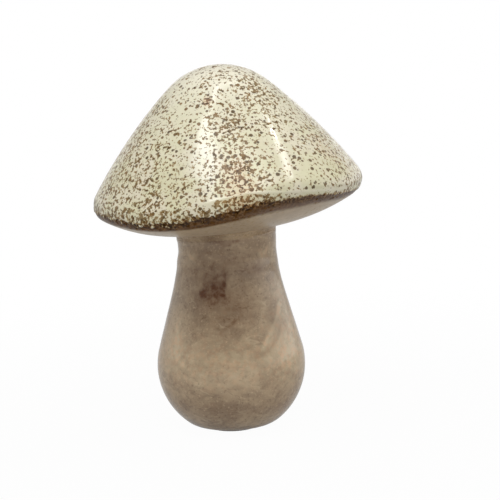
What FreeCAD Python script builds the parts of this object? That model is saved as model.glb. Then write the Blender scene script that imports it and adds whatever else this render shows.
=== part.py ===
"""Ceramic mushroom ornament: hollow stem, hollow two-part cap, slip seams, felt pad.

Frame: +Z up, X to the right and -Y towards the viewer. The origin is the middle of
the felt pad's lower face, which stands on the table. Lengths in mm, angles in degrees.
"""
import FreeCAD, Part
import math
import os
import Sketcher

SIZES = {
    # Felt pad under the foot
    "pad_radius": 11.0,
    "pad_thickness": 1.2,
    # Stem: heights are above the table
    "foot_radius": 12.4,
    "foot_round": 9.8,
    "belly_radius": 28.7,
    "belly_round": 27.0,
    "flank_length": 22.0,
    "neck_radius": 18.7,
    "joint_height": 75.1,
    "stem_wall": 4.5,
    "vent_radius": 3.0,
    "shoulder_width": 2.4,
    "spigot_wall": 1.9,
    "spigot_height": 4.4,
    "trim_allowance": 6.0,
    # Joining slip
    "seam_thickness": 0.8,
    "sleeve_gap": 0.4,
    # Cap: heights are above the neck joint, along the cap's own leaning axis
    "cap_tilt": 3.6,
    "cap_shift": 2.4,
    "cap_radius": 51.3,
    "brim_height": 17.1,
    "apex_height": 65.0,
    "apex_round": 27.7,
    "flank_round": 202.0,
    "brow_round": 7.1,
    "nose_round": 5.2,
    "underside_round": 60.0,
    "collar_step": 0.5,
    "neck_fillet": 3.3,
    "cap_wall": 4.0,
    "parting_drop": 2.0,
    # Waves of the brim, as heights at its edge
    "sag_wave": 0.5,
    "two_lobe_wave": 2.0,
    "four_lobe_wave": 1.3,
}

SPIGOT_FORMULA = "(sizes.neck_radius - sizes.shoulder_width)"
COLLAR_FORMULA = "(sizes.neck_radius + sizes.collar_step)"
RING_POINTS = 24
RINGS_PER_ARC = 7
RIGHT_ANGLE = math.pi / 2

vector = FreeCAD.Vector
doc = FreeCAD.newDocument("MushroomOrnament")
sheet = doc.addObject("Spreadsheet::Sheet", "sizes")
for row, (name, value) in enumerate(SIZES.items(), start=1):
    sheet.set(f"A{row}", name)
    sheet.set(f"B{row}", str(value))
    sheet.setAlias(f"B{row}", name)
doc.recompute()


def size(name):
    return float(sheet.get(name))


def spigot_radius():
    """The spigot stands back from the neck's outside by the width of the shoulder."""
    return size("neck_radius") - size("shoulder_width")


def collar_radius():
    return size("neck_radius") + size("collar_step")


def meeting_point(centre_one, radius_one, centre_two, radius_two):
    """Where two circles cross, on the right hand of the line from the first to the second."""
    across = centre_two - centre_one
    reach = (radius_one**2 - radius_two**2 + across.Length**2) / (2 * across.Length)
    aside = math.sqrt(radius_one**2 - reach**2)
    ahead = across / across.Length
    return centre_one + ahead * reach + vector(ahead.y, -ahead.x, 0) * aside


def heading(start, end):
    return math.atan2(end.y - start.y, end.x - start.x)


def on_circle(centre, radius, angle):
    return centre + vector(math.cos(angle), math.sin(angle), 0) * radius


# Sketch helpers
def new_sketch(body, name, plane_role):
    plane = next(item for item in body.Origin.OriginFeatures if item.Role == plane_role)
    sketch = body.newObject("Sketcher::SketchObject", name)
    sketch.AttachmentSupport = [(plane, "")]
    sketch.MapMode = "FlatFace"
    return sketch


def constrain(sketch, formula, *constraint):
    """Adds a dimension whose value follows a formula on the sheet."""
    index = sketch.addConstraint(Sketcher.Constraint(*constraint))
    sketch.setExpression(f"Constraints[{index}]", formula)


def circle(sketch, radius_formula, start_radius):
    centre = vector(0, 0, 0)
    index = sketch.addGeometry(Part.Circle(centre, vector(0, 0, 1), start_radius))
    sketch.addConstraint(Sketcher.Constraint("Coincident", index, 3, -1, 1))
    constrain(sketch, radius_formula, "Radius", index, start_radius)


def polyline(sketch, points):
    """Closed outline of level and upright lines; returns the index of its first line."""
    first = sketch.GeometryCount
    for start, end in zip(points, points[1:] + points[:1]):
        sketch.addGeometry(Part.LineSegment(start, end))
    last = sketch.GeometryCount - 1
    for index in range(first, last + 1):
        after = first if index == last else index + 1
        sketch.addConstraint(Sketcher.Constraint("Coincident", index, 2, after, 1))
        line = sketch.Geometry[index]
        level = abs(line.EndPoint.y - line.StartPoint.y) < abs(line.EndPoint.x - line.StartPoint.x)
        sketch.addConstraint(Sketcher.Constraint("Horizontal" if level else "Vertical", index))
    return first


def place_on_cap(item):
    """Puts an object in the cap's frame: on the neck joint, leaning to the left."""
    base = vector(0, 0, size("joint_height"))
    item.Placement = FreeCAD.Placement(base, FreeCAD.Rotation(vector(0, -1, 0), size("cap_tilt")))


# Felt pad
def make_felt_pad():
    pad = doc.addObject("Part::Cylinder", "felt_pad")
    pad.setExpression("Radius", "sizes.pad_radius")
    pad.setExpression("Height", "sizes.pad_thickness")
    return pad


# Stem
def stem_arcs():
    """Centres of the foot, belly and neck arcs, the neck's radius, and the two joining angles.

    A straight flank of a set length runs between the belly and neck arcs and touches both.
    The neck is narrowest at the joint.
    """
    foot = vector(size("foot_radius"), size("pad_thickness") + size("foot_round"), 0)
    across = foot.x - (size("belly_radius") - size("belly_round"))
    rise = math.sqrt((size("belly_round") - size("foot_round"))**2 - across**2)
    belly = vector(foot.x - across, foot.y + rise, 0)
    aside = size("neck_radius") - belly.x
    above = size("joint_height") - belly.y
    spare = aside**2 + above**2 - size("belly_round")**2 - size("flank_length")**2
    neck_round = spare / (2 * (size("belly_round") - aside))
    neck = vector(size("neck_radius") + neck_round, size("joint_height"), 0)
    opening = math.atan2(size("flank_length"), size("belly_round") + neck_round)
    return foot, belly, neck, neck_round, heading(belly, foot), heading(belly, neck) - opening


def stem_side(inset, top):
    """Foot, belly, flank and neck curves, moved into the clay by inset, up to a height."""
    foot, belly, neck, neck_round, foot_end, flank_turn = stem_arcs()
    foot_radius = size("foot_round") - inset
    belly_radius = size("belly_round") - inset
    neck_radius = neck_round + inset
    neck_start = flank_turn + math.pi
    neck_end = math.pi - math.asin((top - neck.y) / neck_radius)
    axis = vector(0, 0, 1)
    return [
        Part.ArcOfCircle(Part.Circle(foot, axis, foot_radius), -RIGHT_ANGLE, foot_end),
        Part.ArcOfCircle(Part.Circle(belly, axis, belly_radius), foot_end, flank_turn),
        Part.LineSegment(on_circle(belly, belly_radius, flank_turn),
                         on_circle(neck, neck_radius, neck_start)),
        Part.ArcOfCircle(Part.Circle(neck, axis, neck_radius), neck_end, neck_start),
    ]


def make_stem_section(body):
    """Half section of the stem: the outer side, and the inner side one wall further in."""
    section = new_sketch(body, "StemSection", "XZ_Plane")
    top = size("joint_height") + size("trim_allowance")
    wall = size("stem_wall")
    for curve in stem_side(0, top) + stem_side(wall, top):
        section.addGeometry(curve)
    outer_foot, outer_belly, outer_flank, outer_neck = range(4)
    inner_foot, inner_belly, inner_flank, inner_neck = range(4, 8)
    curves = section.Geometry
    under = vector(0, size("pad_thickness"), 0)
    floor = vector(0, size("pad_thickness") + wall, 0)
    sole = section.addGeometry(Part.LineSegment(under, curves[outer_foot].StartPoint))
    shoulder = section.addGeometry(
        Part.LineSegment(curves[outer_neck].StartPoint, curves[inner_neck].StartPoint))
    inside = section.addGeometry(Part.LineSegment(curves[inner_foot].StartPoint, floor))
    axis = section.addGeometry(Part.LineSegment(floor, under))

    def join(kind, first, first_end, second, second_end):
        section.addConstraint(Sketcher.Constraint(kind, first, first_end, second, second_end))

    join("Tangent", sole, 2, outer_foot, 1)
    for foot, belly, flank, neck in ((outer_foot, outer_belly, outer_flank, outer_neck),
                                     (inner_foot, inner_belly, inner_flank, inner_neck)):
        join("Tangent", foot, 2, belly, 1)
        join("Tangent", belly, 2, flank, 1)
        join("Tangent", flank, 2, neck, 2)
    join("Tangent", inner_foot, 1, inside, 1)
    join("Coincident", outer_neck, 1, shoulder, 1)
    join("Coincident", shoulder, 2, inner_neck, 1)
    join("Coincident", inside, 2, axis, 1)
    join("Coincident", axis, 2, sole, 1)
    for outer, inner in ((outer_foot, inner_foot), (outer_belly, inner_belly), (outer_neck, inner_neck)):
        join("Coincident", outer, 3, inner, 3)
    for line in (sole, shoulder, inside):
        section.addConstraint(Sketcher.Constraint("Horizontal", line))
    section.addConstraint(Sketcher.Constraint("PointOnObject", sole, 1, -2))
    section.addConstraint(Sketcher.Constraint("PointOnObject", inside, 2, -2))
    constrain(section, "sizes.pad_thickness", "DistanceY", -1, 1, sole, 2, size("pad_thickness"))
    constrain(section, "sizes.foot_radius", "DistanceX", -1, 1, outer_foot, 3, size("foot_radius"))
    constrain(section, "sizes.foot_round", "Radius", outer_foot, size("foot_round"))
    constrain(section, "sizes.belly_round", "Radius", outer_belly, size("belly_round"))
    constrain(section, "sizes.belly_radius - sizes.belly_round", "DistanceX", -1, 1, outer_belly, 3,
              size("belly_radius") - size("belly_round"))
    constrain(section, "sizes.flank_length", "Distance", outer_flank, size("flank_length"))
    for neck, inset, formula in ((outer_neck, 0, "sizes.neck_radius"),
                                 (inner_neck, wall, "sizes.neck_radius - sizes.stem_wall")):
        waist = vector(size("neck_radius") - inset, size("joint_height"), 0)
        spot = section.addGeometry(Part.Point(waist), True)
        section.addConstraint(Sketcher.Constraint("PointOnObject", spot, 1, neck))
        join("Horizontal", spot, 1, neck, 3)
        constrain(section, formula, "DistanceX", -1, 1, spot, 1, waist.x)
    constrain(section, "sizes.joint_height", "DistanceY", -1, 1, outer_neck, 3, size("joint_height"))
    constrain(section, "sizes.joint_height + sizes.trim_allowance", "DistanceY", -1, 1, shoulder, 1, top)
    constrain(section, "sizes.belly_round - sizes.stem_wall", "Radius", inner_belly,
              size("belly_round") - wall)
    return section


def make_stem():
    body = doc.addObject("PartDesign::Body", "stem_shell")
    section = make_stem_section(body)
    casting = body.newObject("PartDesign::Revolution", "StemCasting")
    casting.Profile = section
    casting.ReferenceAxis = (section, ["V_Axis"])
    casting.Angle = 360
    doc.recompute()

    # The neck is trimmed along the leaning joint
    offcut = new_sketch(body, "NeckOffcut", "XZ_Plane")
    offcut.AttachmentOffset = FreeCAD.Placement(
        vector(0, size("joint_height"), 0), FreeCAD.Rotation(vector(0, 0, 1), size("cap_tilt")))
    offcut.setExpression("AttachmentOffset.Base.y", "sizes.joint_height")
    offcut.setExpression("AttachmentOffset.Rotation.Angle", "sizes.cap_tilt * 1 deg")
    half = size("belly_radius")
    tall = 2 * size("trim_allowance")
    first = polyline(offcut, [vector(-half, 0, 0), vector(half, 0, 0),
                              vector(half, tall, 0), vector(-half, tall, 0)])
    offcut.addConstraint(Sketcher.Constraint("PointOnObject", first, 1, -1))
    constrain(offcut, "sizes.belly_radius", "DistanceX", first, 1, -1, 1, half)
    constrain(offcut, "2 * sizes.belly_radius", "DistanceX", first, 1, first, 2, 2 * half)
    constrain(offcut, "2 * sizes.trim_allowance", "DistanceY", first + 1, 1, first + 1, 2, tall)
    trim = body.newObject("PartDesign::Pocket", "NeckTrim")
    trim.Profile = offcut
    trim.SideType = "Symmetric"
    trim.Type = "ThroughAll"
    doc.recompute()

    # The spigot stands on the trimmed shoulder and enters the cap's collar
    ring = new_sketch(body, "SpigotRing", "XY_Plane")
    ring.AttachmentOffset = FreeCAD.Placement(
        vector(0, 0, size("joint_height")), FreeCAD.Rotation(vector(0, -1, 0), size("cap_tilt")))
    ring.setExpression("AttachmentOffset.Base.z", "sizes.joint_height")
    ring.setExpression("AttachmentOffset.Rotation.Angle", "sizes.cap_tilt * 1 deg")
    circle(ring, SPIGOT_FORMULA, spigot_radius())
    circle(ring, f"{SPIGOT_FORMULA} - sizes.spigot_wall", spigot_radius() - size("spigot_wall"))
    spigot = body.newObject("PartDesign::Pad", "Spigot")
    spigot.Profile = ring
    spigot.setExpression("Length", "sizes.spigot_height")
    doc.recompute()

    # The kiln vent in the floor of the foot
    hole = new_sketch(body, "VentCircle", "XY_Plane")
    circle(hole, "sizes.vent_radius", size("vent_radius"))
    before = body.Shape.Volume
    vent = body.newObject("PartDesign::Pocket", "Vent")
    vent.Profile = hole
    vent.Reversed = True
    vent.setExpression("Length", "sizes.pad_thickness + sizes.stem_wall + sizes.foot_round")
    doc.recompute()
    if body.Shape.Volume >= before:
        raise ValueError("the vent cuts nothing")
    return body


# Neck seam: a washer of slip on the shoulder and a thin sleeve round the spigot
def make_neck_seam():
    body = doc.addObject("PartDesign::Body", "neck_seam")
    section = new_sketch(body, "SeamSection", "XZ_Plane")
    inner = spigot_radius()
    sleeve = inner + size("sleeve_gap")
    outer = collar_radius()
    thick = size("seam_thickness")
    top = size("spigot_height")
    first = polyline(section, [vector(inner, 0, 0), vector(outer, 0, 0), vector(outer, thick, 0),
                               vector(sleeve, thick, 0), vector(sleeve, top, 0), vector(inner, top, 0)])
    section.addConstraint(Sketcher.Constraint("PointOnObject", first, 1, -1))
    constrain(section, SPIGOT_FORMULA, "DistanceX", -1, 1, first, 1, inner)
    constrain(section, COLLAR_FORMULA, "DistanceX", -1, 1, first, 2, outer)
    constrain(section, "sizes.seam_thickness", "DistanceY", first + 1, 1, first + 1, 2, thick)
    constrain(section, "sizes.sleeve_gap", "DistanceX", first + 4, 2, first + 4, 1, sleeve - inner)
    constrain(section, "sizes.spigot_height", "DistanceY", -1, 1, first + 4, 1, top)
    seam = body.newObject("PartDesign::Revolution", "NeckSlip")
    seam.Profile = section
    seam.ReferenceAxis = (section, ["V_Axis"])
    seam.Angle = 360
    place_on_cap(body)
    body.setExpression("Placement.Base.z", "sizes.joint_height")
    body.setExpression("Placement.Rotation.Angle", "sizes.cap_tilt * 1 deg")
    return body


# Cap: its skins are lofted through level rings, because the brim waves and the cap sits aside
def brim_wave(radius, turn):
    """Height of the wave: nothing inside the neck fillet, all of it at the edge of the brim."""
    start = collar_radius() + size("neck_fillet")
    share = max(0, (radius - start) / (size("cap_radius") - start))**2
    from_front = turn + RIGHT_ANGLE
    return share * (size("sag_wave") * math.sin(from_front)
                    + size("two_lobe_wave") * math.sin(2 * from_front)
                    + size("four_lobe_wave") * math.sin(4 * from_front))


def cap_ring(radius, height):
    """Level ring of the cap: above the spigot the rings move aside, up to the brim."""
    above = (height - size("spigot_height")) / (size("brim_height") - size("spigot_height"))
    aside = size("cap_shift") * min(max(above, 0), 1)
    points = []
    for index in range(RING_POINTS):
        turn = 2 * math.pi * index / RING_POINTS
        points.append(vector(aside + radius * math.cos(turn), radius * math.sin(turn),
                             height + brim_wave(radius, turn)))
    curve = Part.BSplineCurve()
    curve.interpolate(points, PeriodicFlag=True)
    return Part.Wire([curve.toShape()])


def arc_rings(centre, radius, start, end, inset=0, first=0):
    """Rings along an arc of the profile, on its own radius less the inset, from the first one on."""
    rings = []
    for index in range(first, RINGS_PER_ARC):
        spot = on_circle(centre, radius - inset, start + (end - start) * index / (RINGS_PER_ARC - 1))
        rings.append(cap_ring(spot.x, spot.y))
    return rings


def skin(rings):
    return Part.makeLoft(rings, False, False).Faces


def strip(ring_one, ring_two):
    return Part.makeLoft([ring_one, ring_two], False, True).Faces


def closed_solid(faces):
    shell = Part.makeShell(faces)
    shell.sewShape()
    solid = Part.makeSolid(shell)
    if solid.Volume < 0:
        solid.reverse()
    return solid


def add_cap_piece(name, faces):
    piece = doc.addObject("Part::Feature", name)
    piece.Shape = closed_solid(faces)
    place_on_cap(piece)
    return piece


def dome_arcs():
    """Apex, flank and brow arcs as (centre, radius, start angle, end angle), from the top down."""
    apex = vector(0, size("apex_height") - size("apex_round"), 0)
    brow = vector(size("cap_radius") - size("brow_round"), size("brim_height"), 0)
    flank = meeting_point(apex, size("flank_round") - size("apex_round"),
                          brow, size("flank_round") - size("brow_round"))
    high = heading(flank, apex)
    low = heading(flank, brow)
    return [(apex, size("apex_round"), RIGHT_ANGLE, high),
            (flank, size("flank_round"), high, low),
            (brow, size("brow_round"), low, 0)]


def nose_centre():
    return vector(size("cap_radius") - size("nose_round"), size("brim_height"), 0)


def nose_angle(drop):
    """Angle on the nose arc at a depth below the widest line of the brim."""
    return -math.asin(drop / size("nose_round"))


def rim_ring(drop, inset=0):
    """Ring of a rim land: on the nose arc, or one wall inside the widest line with an inset."""
    spot = on_circle(nose_centre(), size("nose_round"), nose_angle(drop))
    radius = size("cap_radius") - inset if inset else spot.x
    return cap_ring(radius, spot.y)


def make_cap_shell():
    wall = size("cap_wall")
    apex, flank, brow = dome_arcs()
    nose = (nose_centre(), size("nose_round"), 0, nose_angle(size("parting_drop")))
    faces = []
    for inset in (0, wall):
        tip = Part.Vertex(size("cap_shift"), 0, size("apex_height") - inset)
        faces += skin([tip] + arc_rings(*apex, inset, first=1))
        faces += skin(arc_rings(*flank, inset))
        faces += skin(arc_rings(*brow, inset))
    faces += skin(arc_rings(*nose))
    faces += strip(cap_ring(size("cap_radius") - wall, nose_centre().y), rim_ring(size("parting_drop"), wall))
    faces += strip(rim_ring(size("parting_drop"), wall), rim_ring(size("parting_drop")))
    return add_cap_piece("cap_shell", faces)


def make_rim_seam():
    wall = size("cap_wall")
    top = size("parting_drop")
    low = top + size("seam_thickness")
    faces = skin(arc_rings(nose_centre(), size("nose_round"), nose_angle(top), nose_angle(low)))
    faces += strip(rim_ring(low), rim_ring(low, wall))
    faces += strip(rim_ring(low, wall), rim_ring(top, wall))
    faces += strip(rim_ring(top, wall), rim_ring(top))
    return add_cap_piece("rim_seam", faces)


def make_cap_underside():
    wall = size("cap_wall")
    low = size("parting_drop") + size("seam_thickness")
    bore = spigot_radius() + size("sleeve_gap")
    base = size("seam_thickness")
    fillet = vector(collar_radius() + size("neck_fillet"), base, 0)
    nose = nose_centre()
    saucer = meeting_point(nose, size("underside_round") - size("nose_round"),
                           fillet, size("underside_round") + size("neck_fillet"))
    outer_turn = heading(saucer, nose)
    inner_turn = heading(saucer, fillet)
    upper_round = size("underside_round") - wall
    land_height = nose.y - low
    land_turn = -math.asin((saucer.y - land_height) / upper_round)
    bore_turn = -math.acos((bore - saucer.x) / upper_round)
    bore_top = on_circle(saucer, upper_round, bore_turn).y
    land = on_circle(saucer, upper_round, land_turn)

    faces = skin(arc_rings(nose, size("nose_round"), nose_angle(low), outer_turn))
    faces += skin(arc_rings(saucer, size("underside_round"), outer_turn, inner_turn))
    faces += skin(arc_rings(fillet, size("neck_fillet"), inner_turn + math.pi, math.pi))
    faces += strip(cap_ring(collar_radius(), base), cap_ring(bore, base))
    faces += strip(cap_ring(bore, base), cap_ring(bore, size("spigot_height")))
    faces += strip(cap_ring(bore, size("spigot_height")), cap_ring(bore, bore_top))
    faces += skin(arc_rings(saucer, upper_round, bore_turn, land_turn))
    faces += strip(cap_ring(land.x, land.y), rim_ring(low, wall))
    faces += strip(rim_ring(low, wall), rim_ring(low))
    return add_cap_piece("cap_underside", faces)


def failed(item):
    return "Invalid" in item.State or "Error" in item.State


pieces = [make_felt_pad(), make_stem(), make_neck_seam(),
          make_cap_underside(), make_rim_seam(), make_cap_shell()]
doc.recompute()
for item in doc.Objects:
    if failed(item):
        raise ValueError(f"{item.Label} failed: {item.State}")
for piece in pieces:
    shape = piece.Shape
    if shape.isNull() or not shape.isValid() or len(shape.Solids) != 1 or shape.Volume <= 0:
        raise ValueError(f"{piece.Label} is not one valid solid")
os.makedirs("parts", exist_ok=True)
for piece in pieces:
    piece.Shape.exportStep(f"parts/{piece.Label}.step")
    box = piece.Shape.optimalBoundingBox(False)
    print(f"{piece.Label}: {piece.Shape.Volume:.0f} mm3, z {box.ZMin:.2f} to {box.ZMax:.2f}, "
          f"x {box.XMin:.2f} to {box.XMax:.2f}")
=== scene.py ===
"""Ceramic mushroom ornament: the glazed pieces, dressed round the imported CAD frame.

Frame: +Z up, X to the right, -Y towards the viewer, origin under the felt pad.
Profiles, places, glaze and noise sizes are in mm; the finished meshes, the camera and the
lamps are in metres. A turn in a table is in degrees and counts from the front to the right.
"""
import math

import bpy
import numpy as np
from mathutils import Matrix, Vector


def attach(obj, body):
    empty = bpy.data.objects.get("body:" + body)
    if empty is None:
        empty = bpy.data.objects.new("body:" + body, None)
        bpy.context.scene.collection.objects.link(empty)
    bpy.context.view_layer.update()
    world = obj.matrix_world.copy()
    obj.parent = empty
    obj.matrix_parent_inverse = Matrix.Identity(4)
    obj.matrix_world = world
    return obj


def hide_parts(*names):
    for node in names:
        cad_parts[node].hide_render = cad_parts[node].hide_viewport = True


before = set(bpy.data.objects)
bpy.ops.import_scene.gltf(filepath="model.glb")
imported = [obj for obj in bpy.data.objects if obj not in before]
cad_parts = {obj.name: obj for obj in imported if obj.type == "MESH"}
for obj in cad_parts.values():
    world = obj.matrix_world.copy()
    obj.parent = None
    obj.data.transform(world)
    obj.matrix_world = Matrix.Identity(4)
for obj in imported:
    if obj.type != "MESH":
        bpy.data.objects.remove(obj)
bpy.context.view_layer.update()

MM = 0.001

# Sizes of the object, as in the part's source
SIZES = {
    "pad_radius": 11.0, "pad_thickness": 1.2,
    "foot_radius": 12.4, "foot_round": 9.8, "belly_radius": 28.7, "belly_round": 27.0,
    "flank_length": 22.0, "neck_radius": 18.7, "joint_height": 75.1, "stem_wall": 4.5,
    "vent_radius": 3.0, "shoulder_width": 2.4, "spigot_wall": 1.9, "spigot_height": 4.4,
    "seam_thickness": 0.8, "sleeve_gap": 0.4,
    "cap_tilt": 3.6, "cap_shift": 2.4, "cap_radius": 51.3, "brim_height": 17.1,
    "apex_height": 65.0, "apex_round": 27.7, "flank_round": 202.0, "brow_round": 7.1,
    "nose_round": 5.2, "underside_round": 60.0, "collar_step": 0.5, "neck_fillet": 3.3,
    "cap_wall": 4.0, "parting_drop": 2.0,
    "sag_wave": 0.5, "two_lobe_wave": 2.0, "four_lobe_wave": 1.3,
}
SPIGOT = SIZES["neck_radius"] - SIZES["shoulder_width"]
COLLAR = SIZES["neck_radius"] + SIZES["collar_step"]
BORE = SPIGOT + SIZES["sleeve_gap"]
FILLET_START = COLLAR + SIZES["neck_fillet"]
TILT = math.radians(SIZES["cap_tilt"])
RIGHT_ANGLE = math.pi / 2

# Coats on the cap
CREAM_THICKNESS = 0.32  # cream coat over the brown one
CREAM_SINK = 0.10  # the brown coat lies this much under the CAD skin
EDGE_SOFTNESS = 0.42  # how fast the cream coat thins out at its edge
LACE_WIDTH = 1.9  # height of the zone where the cream edge breaks up
BEAD_RISE = 0.10  # thicker beads along the cream's edge
BEAD_WIDTH = 0.5
BEAD_REACH = 5.0  # the beads fade out this far above the edge
LIP_HALF_WIDTH = 0.43  # thin clean roll of cream above the edge, at the front
LIP_RISE = 0.14
UNDER_RISE = 0.45  # the coat under the brim is thicker, and starts this far down
UNDER_START, UNDER_RUN = 1.5, 4.0
COLLAR_RUN = 4.0  # it thins out again over this length before the collar

# Crowding of the specks: zero is thin, one is thick with them
SPECKLE_BASE = 0.57
SPECKLE_CROWN_DROP = 0.10
EDGE_CROWD, CROWD_HEIGHT, CROWD_WIDTH = 0.30, 2.2, 1.6  # just above the cream's edge
LIP_CLEARING = 2.6

# Surface of the stem
STEM_COAT = 0.10
COAT_START, COAT_RUN = 0.5, 0.6  # above the sole
BARE_END, BARE_RUN = 0.4, 0.5
FOLD_DEPTH = 0.10  # soft folds below the cap
FOLD_PITCH = 0.9  # radians per mm of height
FOLD_START, FOLD_RUN = 58.0, 12.0
FOLD_WANDER, FOLD_WANDER_SIZE = 2.0, 30
JOINT_RUN = 1.5  # the surface closes in on the joint over this height
SWELL_RUN = 3.6  # the neck swells to the collar over this height
SEAM_BULGE = 0.12
LEAN_RUN = 9.0  # the neck turns into the leaning joint over this height
SPIGOT_ROOT = 0.6

# Layers of noise: rows of (strength, size, octaves)
CAP_WAVES = ((0.05, 9.0, 2),)
SPECKLE_CLOUDS = ((0.16, 7.0, 2), (0.10, 24.0, 1))
STEM_WAVES = ((0.10, 16.0, 2), (0.04, 5.0, 2))
FELT_FUZZ = ((0.05, 0.9, 2),)
LACE_BROAD, LACE_FINE = 0.5, 1.35  # strengths of the cream edge's two layers
PLACE_RAGGEDNESS, STROKE_SWAY = 0.65, 1.3
FINE_SHIFT, SWAY_SHIFT = 40, 60  # moved so far, a noise serves for a second pattern
FELT_ROUND, FELT_SINK = 0.35, 0.05
FUZZ_START, FUZZ_RUN = -2.0, 1.5  # from the felt's rim

# Columns of points in a ring, where they change, and steps between the rows of a profile
FINEST, FINE, MEDIUM, COARSE, COARSEST = 1024, 512, 256, 128, 64
STEM_COLUMNS, STEM_HIDDEN_COLUMNS, FELT_COLUMNS = 320, 160, 192
LACE_ZONE, SPECK_ZONE = -8, -24  # the finest and the fine columns reach up to here
DOME_MEDIUM, DOME_COARSE = 14, 5  # radii beyond which a ring has that many
INSIDE_COARSE, SAUCER_FINE = 8, 40
BRIM_STEP, HIDDEN_STEP = 0.28, 2.5
LAND_INSET = 1.2  # narrow lands at the rim, hidden in the joint
COLLAR_INSET, SOLE_INSET, FLOOR_INSET = 0.6, 0.6, 2.0

# Ways out of the clay for the rows of straight runs
UP, DOWN, OUTWARD, INWARD = (0, 1), (0, -1), (1, 0), (-1, 0)
ONE_TURN = np.zeros(1)  # the single column of a ring that is a point


class Noise:
    """Seeded gradient noise in three dimensions, about -1 to 1."""

    SPREAD = 1.6
    OCTAVE_SHIFT = 17.3

    def __init__(self, seed):
        rng = np.random.RandomState(seed)
        self.order = np.tile(rng.permutation(256), 2)
        arrows = rng.normal(size=(256, 3))
        self.arrows = arrows / np.linalg.norm(arrows, axis=1, keepdims=True)

    def __call__(self, points):
        cell = np.floor(points).astype(int)
        part = points - cell
        fade = part**3 * (part * (part * 6 - 15) + 10)
        total = np.zeros(points.shape[:-1])
        for corner in range(8):
            step = np.array([corner & 1, corner >> 1 & 1, corner >> 2 & 1])
            at = (cell + step) & 255
            pick = self.order[self.order[self.order[at[..., 0]] + at[..., 1]] + at[..., 2]]
            slope = (self.arrows[pick] * (part - step)).sum(-1)
            total += slope * np.prod(np.where(step == 1, fade, 1 - fade), axis=-1)
        return total * self.SPREAD

    def fractal(self, points, size, octaves, gain=0.5):
        total, share, most = 0, 1, 0
        for octave in range(octaves):
            total = total + share * self(points * 2**octave / size + self.OCTAVE_SHIFT * octave)
            most += share
            share *= gain
        return total / most

    def layers(self, points, rows):
        return sum(strength * self.fractal(points, size, octaves) for strength, size, octaves in rows)


glaze_noise = Noise(11)
spread_noise = Noise(23)
form_noise = Noise(37)


def bell(distance):
    return np.exp(-distance**2)


def rising(value, start, run):
    """Zero up to the start, one past the run, even in between."""
    return np.clip((value - start) / run, 0, 1)


# Profiles: rows of (radius, height, outward radius, outward height)
def point(radius, height):
    return np.array([radius, height], float)


def heading(start, end):
    return math.atan2(end[1] - start[1], end[0] - start[0])


def meeting_point(one, radius_one, two, radius_two):
    """Where two circles cross, on the right hand of the line from the first to the second."""
    across = two - one
    length = np.hypot(*across)
    reach = (radius_one**2 - radius_two**2 + length**2) / (2 * length)
    ahead = across / length
    return one + ahead * reach + point(ahead[1], -ahead[0]) * math.sqrt(radius_one**2 - reach**2)


def arc(centre, radius, start, end, step, side=1):
    """Rows along an arc; side -1 where the clay is outside the circle."""
    count = max(2, int(abs(end - start) * radius / step) + 2)
    turns = np.linspace(start, end, count)
    out = np.stack([np.cos(turns), np.sin(turns)], -1)
    return np.hstack([centre + radius * out, side * out])


def line(start, end, out, step):
    count = max(2, int(np.hypot(*(end - start)) / step) + 2)
    spots = start + (end - start) * np.linspace(0, 1, count)[:, None]
    return np.hstack([spots, np.tile(out, (count, 1))])


def chain(*runs):
    """Joins runs that meet end to end."""
    return np.vstack([runs[0]] + [run[1:] for run in runs[1:]])


def lengths(rows):
    """Length along the profile up to each row."""
    steps = np.hypot(*np.diff(rows[:, :2], axis=0).T)
    return np.concatenate([[0], np.cumsum(steps)])


# Rings: points round the axis through one row of a profile
def turns_of(columns):
    return np.arange(columns) * 2 * math.pi / columns


def upright_ring(row, turns, rise=0):
    """Ring round the upright axis, moved outward by rise."""
    radius, height, out_radius, out_height = row
    wide = radius + out_radius * rise
    return np.stack([wide * np.cos(turns), wide * np.sin(turns),
                     height + out_height * rise + 0 * turns], -1)


def brim_wave(radius, turns):
    share = np.maximum(0, (radius - FILLET_START) / (SIZES["cap_radius"] - FILLET_START))**2
    front = turns + RIGHT_ANGLE
    return share * (SIZES["sag_wave"] * np.sin(front) + SIZES["two_lobe_wave"] * np.sin(2 * front)
                    + SIZES["four_lobe_wave"] * np.sin(4 * front))


def cap_ring(row, turns, rise=0):
    """Ring of the cap in its own frame, with its shift and wave, moved outward by rise."""
    radius, height, out_radius, out_height = row
    shift_run = SIZES["brim_height"] - SIZES["spigot_height"]
    aside = SIZES["cap_shift"] * rising(height, SIZES["spigot_height"], shift_run)
    wide = radius + out_radius * rise
    return np.stack([aside + wide * np.cos(turns), wide * np.sin(turns),
                     height + brim_wave(radius, turns) + out_height * rise], -1)


def to_cap(points):
    """From the cap's own leaning frame to the object's."""
    turn = np.array([[math.cos(TILT), 0, -math.sin(TILT)], [0, 1, 0],
                     [math.sin(TILT), 0, math.cos(TILT)]])
    return points @ turn.T + [0, 0, SIZES["joint_height"]]


def lean(points):
    """Turns the neck gently into the leaning joint."""
    height = SIZES["joint_height"]
    share = rising(points[:, 2], height - LEAN_RUN, LEAN_RUN)
    turn = TILT * share**2 * (3 - 2 * share)
    up = points[:, 2] - height
    return np.stack([points[:, 0] * np.cos(turn) - up * np.sin(turn), points[:, 1],
                     points[:, 0] * np.sin(turn) + up * np.cos(turn) + height], -1)


# Meshes
def add_object(name, data):
    thing = bpy.data.objects.new(name, data)
    bpy.context.scene.collection.objects.link(thing)
    return thing


def with_next(count):
    """The columns of a ring, and the column after each."""
    at = np.arange(count)
    return at, (at + 1) % count


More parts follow.
